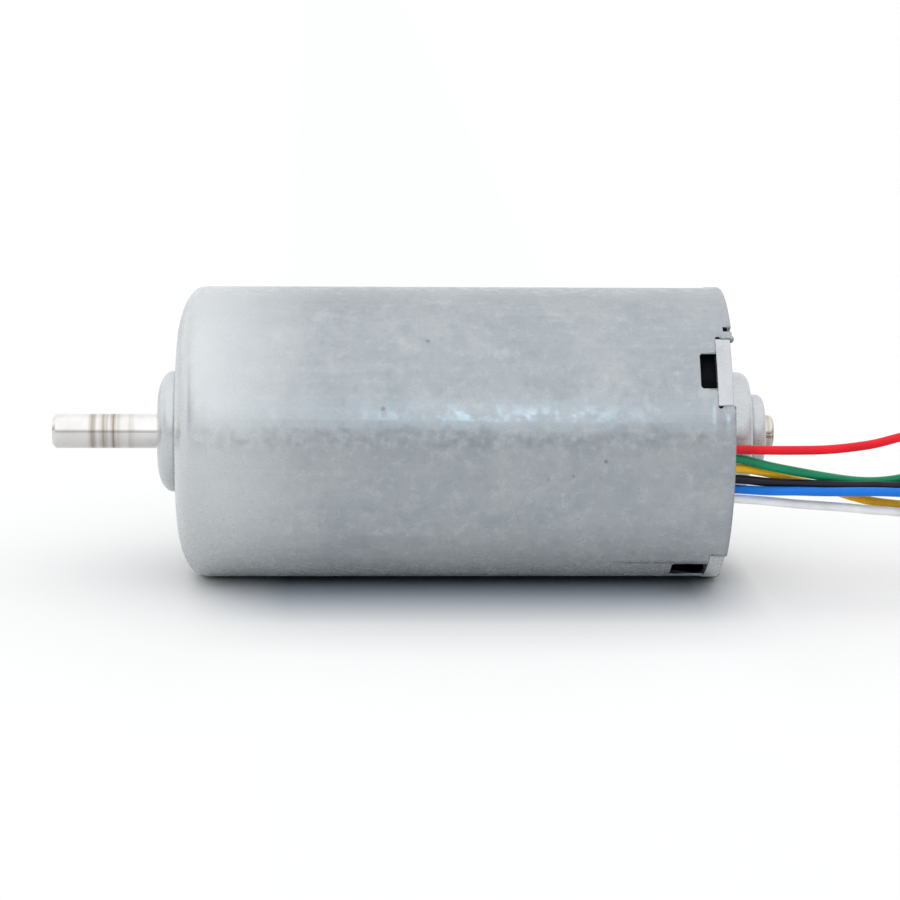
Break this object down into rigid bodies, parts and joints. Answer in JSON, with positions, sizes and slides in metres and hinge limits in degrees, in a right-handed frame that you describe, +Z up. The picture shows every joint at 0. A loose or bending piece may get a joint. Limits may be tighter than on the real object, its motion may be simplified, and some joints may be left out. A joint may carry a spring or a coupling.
{
  "type": "brushless dc motor",
  "caption": "Cylindrical brushless DC motor in a deep-drawn steel can, with a plain output shaft, a front boss, a crimped end cap and coloured leads",
  "frame": {"origin": "on the shaft axis, in the plane of the can's mounting face", "axes": "output shaft along -X, leads leave towards +X, +Z up as the motor lies, lead outlet on the -Y side"},
  "size_m": [0.1768, 0.0422, 0.0423],
  "materials": {
    "can": "matte zinc plating",
    "end_cap": "matte zinc plating",
    "shaft": "ground",
    "bearing_steel": "polished",
    "spring_steel": "satin",
    "cage_brass": "satin",
    "brass": "turned",
    "core_steel": "laminated steel with dark varnish",
    "magnet": "nickel-plated magnet",
    "sleeve": "satin",
    "ferrite": "bonded ferrite",
    "insulator": "satin",
    "wedge": "fibre strip",
    "copper": "enamelled copper wire",
    "tinned": "tinned copper",
    "black_plastic": "matte",
    "board": "solder mask",
    "chip": "moulded epoxy",
    "capacitor": "satin",
    "screw": "zinc-plated",
    "grommet": "matte",
    "inner_lead": "wire insulation",
    "red": "wire insulation",
    "green": "wire insulation",
    "yellow": "wire insulation",
    "black": "wire insulation",
    "blue": "wire insulation",
    "white": "wire insulation"
  },
  "bodies": {
    "housing": {"can": "can", "end_cap": "end_cap", "wave_washer": "spring_steel", "stator_core": "core_steel", "front_insulator": "insulator", "rear_insulator": "insulator", "slot_wedges": "wedge", "phase_u_coils": "copper", "phase_v_coils": "copper", "phase_w_coils": "copper", "phase_pins": "tinned", "board_carrier": "black_plastic", "circuit_board": "board", "hall_sensors": "chip", "power_transistors": "chip", "controller_chip": "chip", "supply_capacitors": "capacitor", "board_screws": "screw", "inner_leads": "inner_lead", "lead_grommet": "grommet", "lead_tips": "tinned", "hank_tie": "black_plastic", "front_bearing_outer_ring": "bearing_steel", "front_bearing_shields": "bearing_steel", "rear_bearing_outer_ring": "bearing_steel", "rear_bearing_shields": "bearing_steel", "red_lead": "red", "red_hank": "red", "green_lead": "green", "green_hank": "green", "yellow_lead": "yellow", "yellow_hank": "yellow", "black_lead": "black", "black_hank": "black", "blue_lead": "blue", "blue_hank": "blue", "white_lead": "white", "white_hank": "white"},
    "rotor": {"shaft": "shaft", "rotor_core": "core_steel", "rotor_magnets": "magnet", "magnet_sleeve": "sleeve", "front_balance_ring": "brass", "rear_balance_ring": "brass", "sensor_hub": "brass", "sensor_magnet": "ferrite", "front_spacer": "bearing_steel", "rear_spacer": "bearing_steel", "front_bearing_inner_ring": "bearing_steel", "rear_bearing_inner_ring": "bearing_steel", "retaining_clip": "spring_steel"},
    "front_balls": {"front_bearing_balls": "bearing_steel", "front_bearing_cage": "cage_brass"},
    "rear_balls": {"rear_bearing_balls": "bearing_steel", "rear_bearing_cage": "cage_brass"}
  },
  "joints": [
    {"name": "rotor_spin", "type": "hinge", "parent": "housing", "child": "rotor", "pos_m": [0, 0, 0], "axis": [1, 0, 0], "continuous": true},
    {"name": "front_cage_spin", "type": "hinge", "parent": "housing", "child": "front_balls", "pos_m": [0, 0, 0], "axis": [1, 0, 0], "continuous": true},
    {"name": "rear_cage_spin", "type": "hinge", "parent": "housing", "child": "rear_balls", "pos_m": [0.0785, 0, 0], "axis": [1, 0, 0], "continuous": true}
  ],
  "couplings": [
    {"joint": "front_cage_spin", "follows": "rotor_spin", "ratio": 0.3745},
    {"joint": "rear_cage_spin", "follows": "rotor_spin", "ratio": 0.3745}
  ]
}
